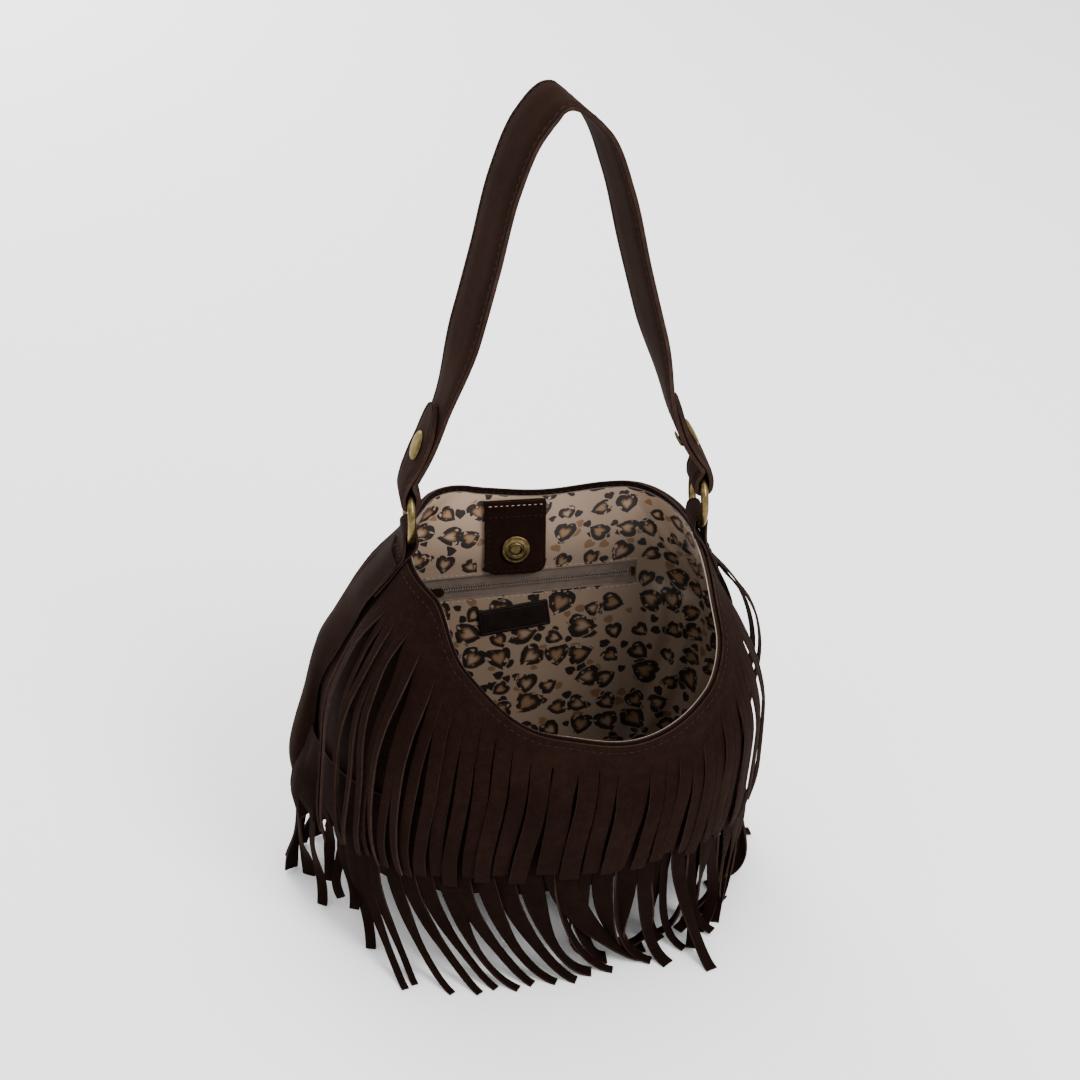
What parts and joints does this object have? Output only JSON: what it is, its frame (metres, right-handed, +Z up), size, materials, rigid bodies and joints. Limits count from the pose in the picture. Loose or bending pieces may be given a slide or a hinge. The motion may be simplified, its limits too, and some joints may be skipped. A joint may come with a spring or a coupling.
{
  "type": "fringed suede shoulder bag",
  "caption": "Slouchy suede shoulder bag with tiered fringe, a patterned lining, an inside zip pocket, a magnetic snap and a strap on rings.",
  "frame": {"origin": "on the floor under the bag, on the flat underside of the front panel, midway between the rings", "axes": "+X from the left ring to the right ring, +Y to the back of the bag, +Z up"},
  "size_m": [0.3025, 0.1861, 0.5085],
  "materials": {
    "suede": "napped dark brown suede, matt",
    "strap_suede": "dark brown suede, two layers, stitched edges",
    "lining": "taupe satin with a leopard-spot print",
    "brass": "antique brass plate, lightly worn",
    "zip_tape": "woven polyester tape and nylon coil",
    "patch": "smooth dark leather, blind embossed border"
  },
  "bodies": {
    "bag": {"front_panel": "suede", "back_panel": "suede", "front_upper_fringe": "suede", "back_upper_fringe": "suede", "front_lower_fringe": "suede", "back_lower_fringe": "suede", "left_ring_tab": "suede", "right_ring_tab": "suede", "back_tab_backing": "suede", "back_tab_face": "suede", "front_tab_backing": "suede", "front_tab_face": "suede", "front_lining": "lining", "back_lining": "lining", "zip_pocket": "lining", "back_snap_washer": "brass", "back_snap_socket": "brass", "front_snap_washer": "brass", "front_snap_stud": "brass", "zip_stop_left": "brass", "zip_stop_right": "brass", "zip_tape_upper": "zip_tape", "zip_tape_lower": "zip_tape", "zip_coil_upper": "zip_tape", "zip_coil_lower": "zip_tape", "leather_patch": "patch"},
    "strap": {"strap": "strap_suede", "left_rivet_cap": "brass", "left_rivet_back": "brass", "right_rivet_cap": "brass", "right_rivet_back": "brass"},
    "left_ring": {"left_ring": "brass"},
    "right_ring": {"right_ring": "brass"},
    "zip_slider": {"zip_slider": "brass"},
    "zip_pull": {"zip_pull": "brass"}
  },
  "joints": [
    {"name": "strap_swing", "type": "hinge", "parent": "bag", "child": "strap", "pos_m": [0, 0, 0.262], "axis": [1, 0, 0], "range_deg": [-60, 60]},
    {"name": "left_ring_turn", "type": "hinge", "parent": "bag", "child": "left_ring", "pos_m": [-0.084, 0, 0.262], "axis": [1, 0, 0], "continuous": true},
    {"name": "right_ring_turn", "type": "hinge", "parent": "bag", "child": "right_ring", "pos_m": [0.084, 0, 0.262], "axis": [1, 0, 0], "continuous": true},
    {"name": "zip_slide", "type": "slide", "parent": "bag", "child": "zip_slider", "axis": [0.999, 0.0028, 0.0435], "range_m": [0, 0.132]},
    {"name": "zip_pull_flip", "type": "hinge", "parent": "zip_slider", "child": "zip_pull", "pos_m": [-0.07944, 0.04809, 0.17278], "axis": [0.0436, -0.0642, -0.997], "range_deg": [0, 160]}
  ]
}
